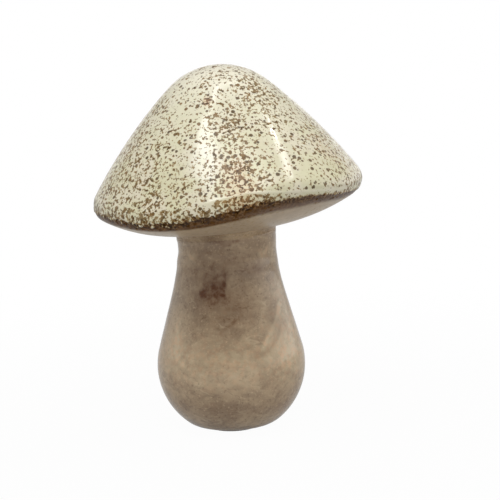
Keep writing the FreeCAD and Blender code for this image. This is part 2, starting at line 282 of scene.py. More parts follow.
class Shell:
    """Closed mesh from rings of points; a ring may have twice or half the columns of the last."""

    def __init__(self):
        self.points, self.faces, self.values = [], [], {}
        self.starts, self.counts, self.sharp = [], [], []

    def ring(self, points, sharp=False, **values):
        self.starts.append(sum(self.counts))
        self.counts.append(len(points))
        self.points.append(points)
        self.sharp.append(np.full(len(points), len(self.counts) if sharp else 0))
        for name, value in values.items():
            self.values.setdefault(name, []).append(np.broadcast_to(value, len(points)))

    def add_faces(self, corners, flip=False):
        self.faces += np.stack(corners[::-1] if flip else corners, -1).tolist()

    def join(self, one, two):
        if 1 in (self.counts[one], self.counts[two]):
            self.fan(one, two)
        elif self.counts[one] == self.counts[two]:
            self.band(one, two)
        else:
            self.halve(one, two)

    def band(self, one, two):
        at, after = with_next(self.counts[one])
        here, there = self.starts[one], self.starts[two]
        self.add_faces([here + at, there + at, there + after, here + after])

    def halve(self, one, two):
        """Three triangles for each column of the ring that has half as many."""
        flip = self.counts[two] > self.counts[one]
        many, few = (two, one) if flip else (one, two)
        at, after = with_next(self.counts[few])
        wide, narrow = self.starts[many], self.starts[few]
        first, middle, last = wide + 2 * at, wide + 2 * at + 1, wide + 2 * after
        for corners in ([first, narrow + at, middle], [middle, narrow + at, narrow + after],
                        [middle, narrow + after, last]):
            self.add_faces(corners, flip)

    def fan(self, one, two):
        """Triangles between a ring and a single point."""
        tip_first = self.counts[one] == 1
        tip, ring = (one, two) if tip_first else (two, one)
        at, after = with_next(self.counts[ring])
        tips = np.full(self.counts[ring], self.starts[tip])
        self.add_faces([tips, self.starts[ring] + at, self.starts[ring] + after], not tip_first)

    def build(self, name, material, loop=False):
        for index in range(len(self.counts) - 1):
            self.join(index, index + 1)
        if loop:
            self.join(len(self.counts) - 1, 0)
        mesh = bpy.data.meshes.new(name)
        mesh.from_pydata((np.concatenate(self.points) * MM).tolist(), [], self.faces)
        mesh.shade_smooth()
        for label, parts in self.values.items():
            data = mesh.attributes.new(label, "FLOAT", "POINT")
            data.data.foreach_set("value", np.concatenate(parts).astype(np.float32))
        ends = np.zeros(len(mesh.edges) * 2, np.int32)
        mesh.edges.foreach_get("vertices", ends)
        marks = np.concatenate(self.sharp)[ends.reshape(-1, 2)]
        sharp = (marks[:, 0] == marks[:, 1]) & (marks[:, 0] > 0)
        data = mesh.attributes.new("sharp_edge", "BOOLEAN", "EDGE")
        data.data.foreach_set("value", sharp)
        mesh.materials.append(material)
        mesh.validate()
        return add_object(name, mesh)


# Places on the cap: (turn, radius, reach, strength)
DENSE_PLACES = {
    "upper right cluster": (37, 20.5, 5.4, 0.62),
    "run below the cluster": (33, 30, 6.5, 0.14),
    "centre column": (4, 33, 7.0, 0.31),
    "warm patch": (5, 49.3, 8.2, 0.94),
    "crown": (5, 12, 8.0, 0.07),
    "lower left": (-38, 51, 15.0, 0.22),
    "far left": (-72, 49, 13.0, 0.14),
    "right flank": (60, 40, 9.0, 0.15),
    "right side": (84, 34, 11.0, 0.20),
    "left side": (-72, 32, 11.0, 0.24),
    "right end": (80, 50, 7.0, 0.22),
    "chip": (-10, 24, 1.3, 0.9),
}
SPARSE_PLACES = {
    "left flank": (-45, 30, 12.0, 0.05),
    "right of the middle": (22, 44, 8.0, 0.20),
    "right lower": (36, 50, 7.0, 0.26),
    "left of the streak": (-22, 28, 7.0, 0.10),
    "beside the streak": (-24, 38, 5.5, 0.05),
    "below the streak": (-23, 47, 6.0, 0.11),
}
RUST_PLACES = {
    "warm patch": (5, 49, 7.5, 0.9),
    "upper right cluster": (37, 20.5, 6.0, 0.25),
    "centre column": (6, 36, 6.0, 0.2),
    "chip": (-10, 24, 1.8, 1.4),
    "right flank": (58, 44, 8.0, 0.5),
}

# Places on the stem: (turn, height, half width, half height, strength)
# Dark places hold iron patches, and painted shade where marked
DARK_MARK_AND_PAINTED_SHADE_PLACES = {
    "patch under the neck": (-18, 58.3, 5.2, 4.4, 0.84),
    "tail of the patch": (-30, 55.5, 3.0, 2.2, 0.42),
    "streak": (-4.5, 59.5, 0.9, 5.0, 0.45),
    "right of the neck": (33, 64.5, 3.5, 2.2, 0.45),
    # painted shade: the front of the neck is darkened where the cap shades it
    "front of the neck": (0, 68, 11.0, 4.5, 0.36),
    "left of the neck": (-46, 62, 6.0, 6.0, 0.20),
    # painted shade: the middle of the neck is darkened where the cap shades it
    "middle": (2, 53, 9.5, 8.0, 0.42),
    # painted shade: the belly is darker low down, towards the floor (this and the next two rows)
    "low belly": (8, 12, 17.0, 6.0, 0.17),
    "low belly left": (-45, 13, 13.0, 5.0, 0.18),
    "low belly right": (52, 11, 14.0, 6.0, 0.18),
    # painted shade: a dark curve where the neck meets the cap
    "smile": (3, 75.5, 7.0, 0.7, 0.38),
    "right fold": (44, 45, 3.0, 5.0, 0.3),
}
# Light places hold peach marks, and painted light where marked
LIGHT_MARK_AND_PAINTED_LIGHT_PLACES = {
    "left of the neck": (-48, 68.7, 2.6, 2.0, 0.5),
    "right of the neck": (44, 69.3, 3.0, 2.2, 0.4),
    "swoosh": (-5, 49, 5.0, 1.0, 0.35),
    "left streaks": (-52, 41, 1.6, 6.0, 0.45),
    # painted light: a lit band round the belly, and lighter belly sides where light and side reflections
    # fall (this and the next three rows)
    "belly": (0, 31.5, 40.0, 9.0, 0.54),
    "right of the belly": (50, 35, 8.0, 12.0, 0.55),
    "right edge": (72, 46, 8.0, 18.0, 0.55),
    "left of the belly": (-50, 35, 6.0, 9.0, 0.32),
    "low light": (-22, 22, 4.0, 7.0, 0.16),
}

# Strokes on the stem: (half width, strength, points of turn and height)
LIGHT_STROKES = {
    "swirl": (0.9, 0.75, ((57, 49.5), (47, 45.3), (40, 42), (32, 38.7), (27.6, 35.8))),
    "left curl": (0.9, 0.42, ((-55, 45), (-52, 38), (-46, 31), (-38, 29.3))),
    "right of the neck": (0.7, 0.36, ((38, 71), (43, 68.5), (50, 70.5))),
    "left of the neck": (0.7, 0.28, ((-52, 71), (-47, 68), (-42, 69))),
}
DARK_MARK_AND_PAINTED_SHADE_STROKES = {
    "under the swirl": (0.9, 0.24, ((52, 43), (41, 37.5), (30, 34), (20, 33))),
    "fold left of the middle": (0.6, 0.30, ((8, 47), (0, 44.5), (-8, 42))),
    # painted shade: a dark curve where the neck meets the cap
    "painted shade line under the cap": (0.6, 0.30, ((-14, 75.0), (0, 73.8), (13, 75.3))),
}

# Brim: rows of (turn, depth of the cream's edge, its raggedness, extra width of the brown band)
BRIM_EDGE = np.array([
    (-180, 1.4, 0.8, 0.0), (-135, 0.8, 0.9, 0.4), (-90, 1.5, 1.0, 0.0), (-54, 1.5, 1.0, 0.0),
    (-26, 1.5, 1.5, 0.0), (-10, 2.0, 1.5, 1.8), (8, 1.3, 1.2, 3.0), (20, 2.4, 0.6, 3.0),
    (35, 3.2, 0.45, 2.6), (60, 3.2, 0.5, 0.9), (80, 3.0, 0.6, 0.4), (135, 1.2, 0.9, 0.5),
])
EDGE_DEPTH, RAGGEDNESS, BAND_EXTRA = 1, 2, 3

# Lip: rows of (turn, height above the cream's edge, strength)
LIP = np.array([
    (-16, 5.8, 0.0), (-4, 5.4, 0.55), (8, 4.2, 0.9), (24, 2.5, 0.5), (36, 1.9, 0.85),
    (50, 1.7, 0.6), (62, 1.7, 0.0),
])


def cap_places(places, turns, radius):
    """Sum of soft spots round named places of the cap."""
    total = 0
    for turn, place_radius, reach, strength in places.values():
        centre = math.radians(turn) - RIGHT_ANGLE
        apart = np.hypot(radius * np.cos(turns) - place_radius * math.cos(centre),
                         radius * np.sin(turns) - place_radius * math.sin(centre))
        total = total + strength * bell(apart / reach)
    return total


def stem_places(places, points):
    """Sum of soft spots round named places of the stem, with ragged outlines."""
    around = np.arctan2(points[:, 0], -points[:, 1])
    radius = np.hypot(points[:, 0], points[:, 1])
    ragged = 1 + PLACE_RAGGEDNESS * spread_noise.fractal(points, 4.0, 4, 0.6)
    total = 0
    for turn, height, half_width, half_height, strength in places.values():
        apart = np.remainder(around - math.radians(turn) + math.pi, 2 * math.pi) - math.pi
        reach = np.hypot(apart * radius / half_width, (points[:, 2] - height) / half_height)
        total = total + strength * bell(reach * ragged)
    return total


def stem_strokes(strokes, points):
    """Sum of soft, swaying strokes along chains of points on the stem."""
    around = np.degrees(np.arctan2(points[:, 0], -points[:, 1]))
    radius = np.hypot(points[:, 0], points[:, 1])
    sway = STROKE_SWAY * spread_noise.fractal(points + SWAY_SHIFT, 6.0, 3)
    total = 0
    for half_width, strength, spots in strokes.values():
        near = np.full(len(points), np.inf)
        for start, end in zip(spots, spots[1:]):
            scale = np.radians(radius)
            run_x, run_y = (end[0] - start[0]) * scale, end[1] - start[1]
            off_x, off_y = (around - start[0]) * scale, points[:, 2] - start[1]
            share = np.clip((off_x * run_x + off_y * run_y) / (run_x**2 + run_y**2), 0, 1)
            near = np.minimum(near, np.hypot(off_x - share * run_x, off_y - share * run_y))
        total = total + strength * bell((near + sway) / half_width)
    return total


def stem_values(points, raw):
    # dark holds iron patches and painted shade; light holds peach marks and painted light
    dark = stem_places(DARK_MARK_AND_PAINTED_SHADE_PLACES, points) + stem_strokes(DARK_MARK_AND_PAINTED_SHADE_STROKES, points)
    light = stem_places(LIGHT_MARK_AND_PAINTED_LIGHT_PLACES, points) + stem_strokes(LIGHT_STROKES, points)
    return {"dark": dark, "light": light, "raw": raw}


def brim_value(turns, column):
    front = np.degrees(turns + RIGHT_ANGLE)
    return np.interp(front, BRIM_EDGE[:, 0], BRIM_EDGE[:, column], period=360)


def above_edge(turns, below):
    """Height over the place where the cream ends on average; below counts from the widest line."""
    return brim_value(turns, EDGE_DEPTH) - below


def lip_share(turns, below):
    """One on the middle of the thin roll that runs slanting above the cream's edge."""
    front = np.remainder(np.degrees(turns + RIGHT_ANGLE) + 180, 360) - 180
    height, share = (np.interp(front, LIP[:, 0], LIP[:, column]) for column in (1, 2))
    return share * bell((above_edge(turns, below) - height) / LIP_HALF_WIDTH)


def cream_field(points, turns, below):
    """Positive where cream covers the brown coat, in steps of the lace zone's height."""
    broad = LACE_BROAD * glaze_noise.fractal(points, 6.0, 2)
    fine = LACE_FINE * glaze_noise.fractal(points + FINE_SHIFT, 1.5, 3, 0.65)
    return above_edge(turns, below) / LACE_WIDTH + (broad + fine) * brim_value(turns, RAGGEDNESS)


def speckle_density(row, points, turns, above, lip):
    """How thick the specks lie on one ring."""
    crown_run = SIZES["apex_height"] - SIZES["brim_height"]
    upper = rising(row[1], SIZES["brim_height"], crown_run)
    dense = SPECKLE_BASE - SPECKLE_CROWN_DROP * upper + spread_noise.layers(points, SPECKLE_CLOUDS)
    dense = dense + cap_places(DENSE_PLACES, turns, row[0]) - cap_places(SPARSE_PLACES, turns, row[0])
    crowd = EDGE_CROWD * brim_value(turns, RAGGEDNESS) * bell((above - CROWD_HEIGHT) / CROWD_WIDTH)
    return dense + crowd - LIP_CLEARING * lip


def cap_glaze(row, below, turns):
    """Displacement and the glaze values of one ring on the cap's outside."""
    base = to_cap(cap_ring(row, turns))
    field = cream_field(base, turns, below)
    above = above_edge(turns, below)
    cover = np.clip(field / EDGE_SOFTNESS * 0.5 + 0.5, 0, 1)
    cover = cover * cover * (3 - 2 * cover)
    bead = bell((field - EDGE_SOFTNESS) / BEAD_WIDTH) * (1 - rising(above, 0, BEAD_REACH))
    lip = lip_share(turns, below)
    rise = CREAM_THICKNESS * cover + BEAD_RISE * bead - CREAM_SINK
    rise = rise + UNDER_RISE * rising(below, UNDER_START, UNDER_RUN)
    rise = rise + form_noise.layers(base, CAP_WAVES) + LIP_RISE * lip
    return rise, {"cream": field, "speckle": speckle_density(row, base, turns, above, lip),
                  "rust": cap_places(RUST_PLACES, turns, row[0]),
                  "under": below - nose_length - brim_value(turns, BAND_EXTRA), "raw": 0.0, "lip": lip}


# Circles of the cap's profile, and where they meet
apex = point(0, SIZES["apex_height"] - SIZES["apex_round"])
brow = point(SIZES["cap_radius"] - SIZES["brow_round"], SIZES["brim_height"])
flank = meeting_point(apex, SIZES["flank_round"] - SIZES["apex_round"],
                      brow, SIZES["flank_round"] - SIZES["brow_round"])
crown_turn, brow_turn = heading(flank, apex), heading(flank, brow)
nose = point(SIZES["cap_radius"] - SIZES["nose_round"], SIZES["brim_height"])
fillet = point(FILLET_START, SIZES["seam_thickness"])
saucer = meeting_point(nose, SIZES["underside_round"] - SIZES["nose_round"],
                       fillet, SIZES["underside_round"] + SIZES["neck_fillet"])
nose_end, fillet_turn = heading(saucer, nose), heading(saucer, fillet)
parting_depth = SIZES["parting_drop"] + SIZES["seam_thickness"]
parting = -math.asin(parting_depth / SIZES["nose_round"])
nose_length = -nose_end * SIZES["nose_round"]
land_height = SIZES["brim_height"] - parting_depth
land_radius = SIZES["cap_radius"] - SIZES["cap_wall"]

# Glaze values of unglazed clay and of the apex
RAW = {"cream": -9.0, "speckle": 0.0, "rust": 0.0, "under": 60.0, "raw": 1.0, "lip": 0.0}
APEX = {"cream": 9.0, "speckle": 0.40, "rust": 0.0, "under": -60.0, "raw": 0.0, "lip": 0.0}
STEM_RAW = {"dark": 0.0, "light": 0.0, "raw": 1.0}


def dome_columns(below, radius):
    """Columns of a ring on the dome: most round the lace, ever fewer towards the apex."""
    if below > LACE_ZONE:
        return FINEST
    if below > SPECK_ZONE:
        return FINE
    if radius > DOME_MEDIUM:
        return MEDIUM
    return COARSE if radius > DOME_COARSE else COARSEST


def dome_inside():
    """Rows of the rim's land, and of the wall's inner face from the land to the apex."""
    wall = SIZES["cap_wall"]
    corner = point(land_radius, land_height)
    wall_top = brow + point(SIZES["brow_round"] - wall, 0)
    land = line(point(SIZES["cap_radius"] - LAND_INSET, land_height), corner, DOWN, step=0.7)
    inner = chain(line(corner, wall_top, INWARD, step=1.4),
                  arc(brow, SIZES["brow_round"] - wall, 0, brow_turn, step=1.0, side=-1),
                  arc(flank, SIZES["flank_round"] - wall, brow_turn, crown_turn, HIDDEN_STEP, side=-1),
                  arc(apex, SIZES["apex_round"] - wall, crown_turn, RIGHT_ANGLE, HIDDEN_STEP, side=-1))
    return land[:-1], inner


def make_cap_dome(material):
    shell = Shell()
    upper = chain(arc(apex, SIZES["apex_round"], RIGHT_ANGLE, crown_turn, step=0.9),
                  arc(flank, SIZES["flank_round"], crown_turn, brow_turn, step=0.5))
    brim = chain(arc(brow, SIZES["brow_round"], brow_turn, 0, BRIM_STEP),
                 arc(nose, SIZES["nose_round"], 0, parting, BRIM_STEP))
    rows = chain(upper, brim)
    below = lengths(rows)
    below -= below[len(upper) - 1] + SIZES["brow_round"] * brow_turn
    shell.ring(to_cap(cap_ring(rows[0], ONE_TURN, CREAM_THICKNESS - CREAM_SINK)), **APEX)
    for index, row in enumerate(rows[1:], 1):
        turns = turns_of(dome_columns(below[index], row[0]))
        rise, values = cap_glaze(row, below[index], turns)
        shell.ring(to_cap(cap_ring(row, turns, rise)), sharp=index == len(rows) - 1, **values)
    land, inner = dome_inside()
    for index, row in enumerate(land):
        columns = FINEST if index == 0 else FINE
        shell.ring(to_cap(cap_ring(row, turns_of(columns))), **RAW)
    for index, row in enumerate(inner):
        columns = MEDIUM if index < 2 else COARSE if row[0] > INSIDE_COARSE else COARSEST
        turns = ONE_TURN if index == len(inner) - 1 else turns_of(columns)
        shell.ring(to_cap(cap_ring(row, turns)), sharp=index == 0, **RAW)
    return shell.build("cap_dome", material)


def make_cap_saucer(material):
    shell = Shell()
    rows = chain(arc(nose, SIZES["nose_round"], parting, nose_end, step=0.3),
                 arc(saucer, SIZES["underside_round"], nose_end, fillet_turn, step=0.8),
                 arc(fillet, SIZES["neck_fillet"], fillet_turn + math.pi, math.pi, step=0.4, side=-1))
    below = lengths(rows) - parting * SIZES["nose_round"]
    for index, row in enumerate(rows):
        columns = FINEST if below[index] < nose_length + 1 else FINE if row[0] > SAUCER_FINE else MEDIUM
        turns = turns_of(columns)
        rise, values = cap_glaze(row, below[index], turns)
        rise = rise * rising(row[0], COLLAR, COLLAR_RUN)
        shell.ring(to_cap(cap_ring(row, turns, rise)), sharp=index in (0, len(rows) - 1), **values)
    bore_round = SIZES["underside_round"] - SIZES["cap_wall"]
    bore_turn = -math.acos((BORE - saucer[0]) / bore_round)
    land_turn = -math.asin((saucer[1] - land_height) / bore_round)
    bore_foot = point(BORE, SIZES["seam_thickness"])
    bore_top = point(BORE, saucer[1] + bore_round * math.sin(bore_turn))
    inside = chain(line(point(COLLAR - COLLAR_INSET, SIZES["seam_thickness"]), bore_foot, DOWN, step=1.2),
                   line(bore_foot, bore_top, INWARD, step=1.5),
                   arc(saucer, bore_round, bore_turn, land_turn, step=2.0, side=-1))
    for row in inside:
        shell.ring(to_cap(cap_ring(row, turns_of(MEDIUM))), **RAW)
    land = (land_radius + LAND_INSET, land_height, *UP)
    shell.ring(to_cap(cap_ring(land, turns_of(FINE))), **RAW)
    return shell.build("cap_saucer", material, loop=True)


def stem_profile():
    """Outer and inner rows of the stem between its sole and the neck joint."""
    foot = point(SIZES["foot_radius"], SIZES["pad_thickness"] + SIZES["foot_round"])
    across = foot[0] - (SIZES["belly_radius"] - SIZES["belly_round"])
    rise = math.sqrt((SIZES["belly_round"] - SIZES["foot_round"])**2 - across**2)
    belly = point(foot[0] - across, foot[1] + rise)
    aside, above = SIZES["neck_radius"] - belly[0], SIZES["joint_height"] - belly[1]
    spare = aside**2 + above**2 - SIZES["belly_round"]**2 - SIZES["flank_length"]**2
    neck_round = spare / (2 * (SIZES["belly_round"] - aside))
    neck = point(SIZES["neck_radius"] + neck_round, SIZES["joint_height"])
    opening = math.atan2(SIZES["flank_length"], SIZES["belly_round"] + neck_round)
    foot_end, flank_turn = heading(belly, foot), heading(belly, neck) - opening
    out = np.array([math.cos(flank_turn), math.sin(flank_turn)])

    def side(inset, step):
        belly_part = arc(belly, SIZES["belly_round"] - inset, foot_end, flank_turn, step)
        neck_part = arc(neck, neck_round + inset, flank_turn + math.pi, math.pi, step, -1)
        return chain(arc(foot, SIZES["foot_round"] - inset, -RIGHT_ANGLE, foot_end, step), belly_part,
                     line(belly_part[-1, :2], neck_part[0, :2], out, step), neck_part)
    return side(0, 0.7), side(SIZES["stem_wall"], HIDDEN_STEP)


def stem_rise(row, points):
    """How far the glazed surface of the stem stands off the CAD skin along one row."""
    to_joint = SIZES["joint_height"] - row[1]
    closing = rising(to_joint, 0, JOINT_RUN)
    wobble = form_noise.layers(points, STEM_WAVES)
    wander = FOLD_WANDER * form_noise(points / FOLD_WANDER_SIZE)
    folds = FOLD_DEPTH * np.sin(row[1] * FOLD_PITCH + wander) * rising(row[1], FOLD_START, FOLD_RUN)
    coat = STEM_COAT * rising(row[1] - SIZES["pad_thickness"], COAT_START, COAT_RUN)
    swell = SIZES["collar_step"] * (1 - rising(to_joint, 0, SWELL_RUN))**2
    return (wobble + folds * closing) * closing + coat * closing + swell


def make_stem(material):
    shell = Shell()
    outer, inner = stem_profile()
    pad = SIZES["pad_thickness"]
    floor_height = pad + SIZES["stem_wall"]
    vent, seam_top, spigot_top = SIZES["vent_radius"], SIZES["seam_thickness"], SIZES["spigot_height"]
    spigot_inside = SPIGOT - SIZES["spigot_wall"]

    def ring(row, columns=STEM_HIDDEN_COLUMNS, rise=0, leaning=False, sharp=False, raw=None):
        """One ring; raw is the bare share of a glazed ring, and None where all is bare clay."""
        placed = upright_ring(row, turns_of(columns), rise)
        placed = to_cap(placed) if leaning else lean(placed)
        shell.ring(placed, sharp=sharp, **(STEM_RAW if raw is None else stem_values(placed, raw)))

    sole = line(point(vent, pad), point(SIZES["foot_radius"] - SOLE_INSET, pad), DOWN, step=2.4)
    for index, row in enumerate(sole):
        ring(row, sharp=index == 0)
    for row in outer[1:]:
        rise = stem_rise(row, upright_ring(row, turns_of(STEM_COLUMNS)))
        ring(row, STEM_COLUMNS, rise, raw=1 - rising(row[1] - pad, BARE_END, BARE_RUN))
    for share in (0.5, 1.0):
        row = (COLLAR + SEAM_BULGE * (1 - share), seam_top * share, *OUTWARD)
        ring(row, STEM_COLUMNS, leaning=True, sharp=share == 1.0, raw=0.0)
    for radius, height, edge in ((BORE, seam_top, True), (BORE, spigot_top, True),
                                 (spigot_inside, spigot_top, True), (spigot_inside, SPIGOT_ROOT, False)):
        ring((radius, height, *OUTWARD), leaning=True, sharp=edge)
    for row in inner[::-1]:
        ring(row)
    floor_edge = point(SIZES["foot_radius"] - FLOOR_INSET, floor_height)
    floor = line(floor_edge, point(vent, floor_height), UP, step=3.0)
    for index, row in enumerate(floor):
        ring(row, sharp=index == len(floor) - 1)
    return shell.build("stem_body", material, loop=True)


def make_felt(material):
    """Felt disc with a soft rounded rim and a slightly fuzzy skin."""
    shell = Shell()
    radius, height = SIZES["pad_radius"], SIZES["pad_thickness"]
    flat_radius = radius - FELT_ROUND
    lower = arc(point(flat_radius, FELT_ROUND), FELT_ROUND, -RIGHT_ANGLE, 0, step=0.15)
    upper = arc(point(flat_radius, height - FELT_ROUND), FELT_ROUND, 0, RIGHT_ANGLE, step=0.15)
    rows = chain(line(point(0, 0), point(flat_radius, 0), DOWN, step=0.8), lower,
                 line(lower[-1, :2], upper[0, :2], OUTWARD, step=0.2), upper,
                 line(point(flat_radius, height), point(0, height), UP, step=0.8))
    for index, row in enumerate(rows):
        turns = ONE_TURN if index in (0, len(rows) - 1) else turns_of(FELT_COLUMNS)
        fuzz = form_noise.layers(upright_ring(row, turns), FELT_FUZZ) - FELT_SINK
        fuzz = fuzz * rising(row[0] - radius, FUZZ_START, FUZZ_RUN) * abs(row[2])
        sideways = row * (1, 1, 1, 0)
        shell.ring(upright_ring(sideways, turns, fuzz))
    return shell.build("felt_disc", material)


# Colours in the usual screen notation, two hexadecimal digits each for red, green and blue
PALETTE = {
    "taupe deep": "9c8469", "taupe": "c2aa8b", "wiped dark": "88705a", "wiped light": "c0a888",
    "grain light": "d2b896", "grain dark": "6f533b", "fleck light": "dcc3a2", "fleck dark": "5a412c",
    "vein light": "d6c1a0", "vein dark": "6b523e", "taupe by the band": "c4b197",
    "cream cool": "dfdab9", "cream warm": "e5ddc5", "cream yellow": "d5cda8",
    # the lighter cream up the flank and on the crown is painted light, and the lip's cream is a painted
    # highlight
    "cream painted lighter up the flank": "e9e4cd", "cream painted lighter on the crown": "f6f0de", "cream with painted highlight on the lip": "f4eedb",
    "cream with rust": "d6b582", "tan": "ab8f5a", "tan with rust": "b9854a",
    "speck deep": "50380f", "speck light": "7e5c2a", "speck with rust": "4c280b",
    "brown deep": "341f08", "brown": "5a3916", "brown crumbs": "987246", "brown drained": "6f4c28",
    # peach also paints light on the belly, and the iron colour also paints shade under the cap and low on
    # the belly
    "peach and painted light cool": "cdb998", "peach and painted light warm": "d5b592", "iron and painted shade on the stem": "65380f",
    "clay light": "cdbfa8", "clay dark": "b9a98f", "felt dark": "4a3d31", "felt light": "6b5a49",
}

# Roughness of the coats; that of specks and bare clay is added to the coat's
CREAM_ROUGHNESS, BROWN_ROUGHNESS, STEM_ROUGHNESS, STEM_DULLING = 0.15, 0.28, 0.12, 0.06
SPECK_ROUGHNESS, CLAY_ROUGHNESS, FELT_ROUGHNESS = 0.16, 0.6, 0.95
GLAZE_IOR = 1.52
PEEL_DEPTH, PIT_DEPTH, FIBRE_DEPTH = 0.05, 0.03, 0.12


def colour(name):
    """Linear colour for the shaders from a name on the palette."""
    parts = [int(PALETTE[name][at:at + 2], 16) / 255 for at in (0, 2, 4)]
    return tuple(part / 12.92 if part <= 0.04045 else ((part + 0.055) / 1.055)**2.4
                 for part in parts) + (1.0,)


class Nodes:
    """Short calls for building the node tree of a material or a world."""

    def __init__(self, owner):
        owner.use_nodes = True
        self.tree = owner.node_tree
        self.tree.nodes.clear()
        self.spots = None

    def add(self, kind, inputs=None, **settings):
        node = self.tree.nodes.new(kind)
        for name, value in settings.items():
            setattr(node, name, value)
        for name, value in (inputs or {}).items():
            self.feed(node.inputs[name], value)
        return node

    def feed(self, socket, value):
        if isinstance(value, bpy.types.NodeSocket):
            self.tree.links.new(value, socket)
        else:
            socket.default_value = value

    def value(self, name):
        return self.add("ShaderNodeAttribute", attribute_name=name).outputs["Fac"]

    def places(self):
        """Object coordinates in mm."""
        if self.spots is None:
            where = self.add("ShaderNodeTexCoord").outputs["Object"]
            self.spots = self.vector_math("SCALE", {0: where, "Scale": 1 / MM})
        return self.spots

    def stretched(self, scale, offset=(0, 0, 0)):
        return self.add("ShaderNodeMapping", {"Vector": self.places(), "Scale": scale,
                                              "Location": offset}).outputs["Vector"]

    def noise(self, size, detail=2.0, roughness=0.5, distortion=0.0, vector=None, out="Fac"):
        node = self.add("ShaderNodeTexNoise", {"Vector": vector or self.places(), "Scale": 1 / size,
                                               "Detail": detail, "Roughness": roughness,
                                               "Distortion": distortion})
        return node.outputs[out]

    def math(self, operation, one, two=0.5, three=0.5, clamp=False):
        node = self.add("ShaderNodeMath", {0: one, 1: two, 2: three}, operation=operation)
        node.use_clamp = clamp
        return node.outputs[0]

    def vector_math(self, operation, inputs, out="Vector"):
        return self.add("ShaderNodeVectorMath", inputs, operation=operation).outputs[out]

    def ramp(self, value, start, end, low=0.0, high=1.0):
        """Smooth change from low to high as the value goes from start to end."""
        node = self.add("ShaderNodeMapRange", {"Value": value, "From Min": start, "From Max": end,
                                               "To Min": low, "To Max": high},
                        interpolation_type="SMOOTHSTEP")
        return node.outputs["Result"]

    def mix(self, share, one, two):
        node = self.add("ShaderNodeMix", {"Factor": share, 6: one, 7: two}, data_type="RGBA")
        return node.outputs[2]

    def blend(self, value, start, end, one, two):
        """From one named colour to another as the value goes from start to end."""
        return self.mix(self.ramp(value, start, end), colour(one), colour(two))

    def tint(self, base, name, value, start, end, most):
        """Lays up to the most of a named colour on the base as the value goes from start to end."""
        return self.mix(self.ramp(value, start, end, 0.0, most), base, colour(name))

    def bump(self, height, distance, under=None):
        inputs = {"Height": height, "Distance": distance * MM, "Strength": 1.0}
        if under is not None:
            inputs["Normal"] = under
        return self.add("ShaderNodeBump", inputs).outputs["Normal"]

    def finish(self, **inputs):
        """The material's shader; an underscore in a name stands for a space."""
        shader = self.add("ShaderNodeBsdfPrincipled", {name.replace("_", " "): value
                                                       for name, value in inputs.items()})
        self.add("ShaderNodeOutputMaterial", {"Surface": shader.outputs["BSDF"]})


def taupe_colour(look):
    """Mottled taupe of the coat on the stem and under the cap, with light and dark veins."""
    wiped = look.noise(7.0, 3, 0.55, 0.5, look.stretched((1, 1, 1.7)))
    grain = look.noise(1.6, 3, 0.6, 0.2)
    flecks = look.noise(0.8, 2, 0.6)
    tone = look.blend(look.noise(16.0, 3, 0.5, 0.3), 0.30, 0.70, "taupe deep", "taupe")
    for name, value, start, end, most in (
            ("wiped dark", wiped, 0.40, 0.75, 0.55), ("wiped light", wiped, 0.52, 0.25, 0.40),
            ("grain light", grain, 0.54, 0.72, 0.42), ("grain dark", grain, 0.46, 0.28, 0.36),
            ("fleck light", flecks, 0.61, 0.73, 0.50), ("fleck dark", flecks, 0.38, 0.27, 0.44)):
        tone = look.tint(tone, name, value, start, end, most)
    for name, size, width, most in (("vein light", 11.0, 0.026, 0.45), ("vein dark", 8.0, 0.024, 0.42)):
        sway = look.noise(size, 2, 0.5, 0.3, look.stretched((1, 1, 1.5), (size, 0, 0)))
        apart = look.math("ABSOLUTE", look.math("SUBTRACT", sway, 0.5))
        patches = look.noise(size * 0.7, 2, 0.5, 0.0, look.stretched((1, 1, 1), (0, size, 0)))
        faint = look.ramp(patches, 0.45, 0.65, 0.0, most)
        tone = look.mix(look.math("MULTIPLY", look.ramp(apart, width, 0.0), faint), tone, colour(name))
    return tone


def clay_colour(look):
    return look.blend(look.noise(0.8, 3), 0.35, 0.65, "clay light", "clay dark")


def dots_layer(look, where, dense, cell, least, most, rare, often):
    """Round-edged dots, one chance per cell; radii run from least to most in cells."""
    cells = look.add("ShaderNodeTexVoronoi", {"Vector": where, "Scale": 1 / cell, "Randomness": 1.0})
    chance = look.add("ShaderNodeSeparateColor", {"Color": cells.outputs["Color"]}).outputs
    reach = look.math("MULTIPLY_ADD", chance[0], most - least, least)
    shown = look.math("LESS_THAN", chance[1], look.ramp(dense, 0.05, 1.0, rare, often))
    shown = look.math("MULTIPLY", shown, look.ramp(dense, -0.6, 0.0))
    past_rim = look.math("SUBTRACT", cells.outputs["Distance"], reach)
    return look.math("MULTIPLY", shown, look.ramp(past_rim, 0.05, -0.05))


def cream_colour(look, rust):
    """Plain cream: painted lighter up the cap as painted light from above, with a painted highlight on the
    lip, and warmer where there is rust.
    """
    height = look.add("ShaderNodeSeparateXYZ", {"Vector": look.places()}).outputs["Z"]
    cream = look.blend(look.noise(9.0, 3), 0.38, 0.62, "cream cool", "cream warm")
    cream = look.tint(cream, "cream yellow", look.noise(3.0, 3), 0.45, 0.70, 0.4)
    # painted light: the cream is lighter higher up the cap
    cream = look.tint(cream, "cream painted lighter up the flank", height, 96, 138, 0.75)
    cream = look.tint(cream, "cream painted lighter on the crown", height, 125, 140, 0.7)
    # painted highlight along the lip, a clean roll of cream that stands a little proud
    cream = look.mix(look.math("MULTIPLY", look.value("lip"), 0.65), cream, colour("cream with painted highlight on the lip"))
    return look.tint(cream, "cream with rust", rust, 0.15, 1.0, 0.34)


